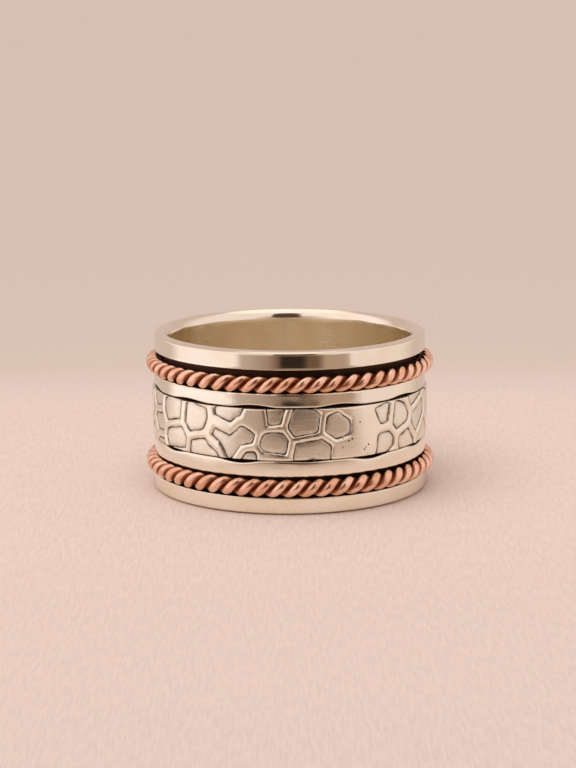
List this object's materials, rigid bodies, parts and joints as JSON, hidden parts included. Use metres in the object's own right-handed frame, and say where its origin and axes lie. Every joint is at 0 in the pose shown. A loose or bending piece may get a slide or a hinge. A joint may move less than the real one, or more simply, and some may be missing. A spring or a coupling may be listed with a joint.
{
  "type": "spinner ring",
  "caption": "Wide flanged finger ring whose band carries loose rings that spin on it: copper rope twists, narrow hammered rings and a broad centre band with a raised cell network.",
  "frame": {"origin": "on the finger's axis, at the surface the ring rests on when it lies on its side", "axes": "+Z along the finger's axis, up from that surface; -Y towards the front of the picture"},
  "size_m": [0.0218, 0.0218, 0.0118],
  "materials": {
    "polished_silver": "hand polished silver",
    "hammered_silver": "polished silver with shallow hammered flats",
    "textured_silver": "polished network over satin sunken cells, oxidised at the cell edges",
    "copper": "polished copper wire with oxidised valleys"
  },
  "bodies": {
    "base": {"base_band": "polished_silver"},
    "lower_rope_ring": {"lower_rope_ring": "copper"},
    "lower_hammered_ring": {"lower_hammered_ring": "hammered_silver"},
    "center_band": {"center_band": "textured_silver"},
    "upper_hammered_ring": {"upper_hammered_ring": "hammered_silver"},
    "upper_rope_ring": {"upper_rope_ring": "copper"}
  },
  "joints": [
    {"name": "lower_rope_spin", "type": "hinge", "parent": "base", "child": "lower_rope_ring", "pos_m": [0, 0, 0.002], "axis": [0, 0, 1], "continuous": true},
    {"name": "lower_hammered_spin", "type": "hinge", "parent": "base", "child": "lower_hammered_ring", "pos_m": [0, 0, 0.00335], "axis": [0, 0, 1], "continuous": true},
    {"name": "center_band_spin", "type": "hinge", "parent": "base", "child": "center_band", "pos_m": [0, 0, 0.00585], "axis": [0, 0, 1], "continuous": true},
    {"name": "upper_hammered_spin", "type": "hinge", "parent": "base", "child": "upper_hammered_ring", "pos_m": [0, 0, 0.0083], "axis": [0, 0, 1], "continuous": true},
    {"name": "upper_rope_spin", "type": "hinge", "parent": "base", "child": "upper_rope_ring", "pos_m": [0, 0, 0.00948], "axis": [0, 0, 1], "continuous": true}
  ]
}
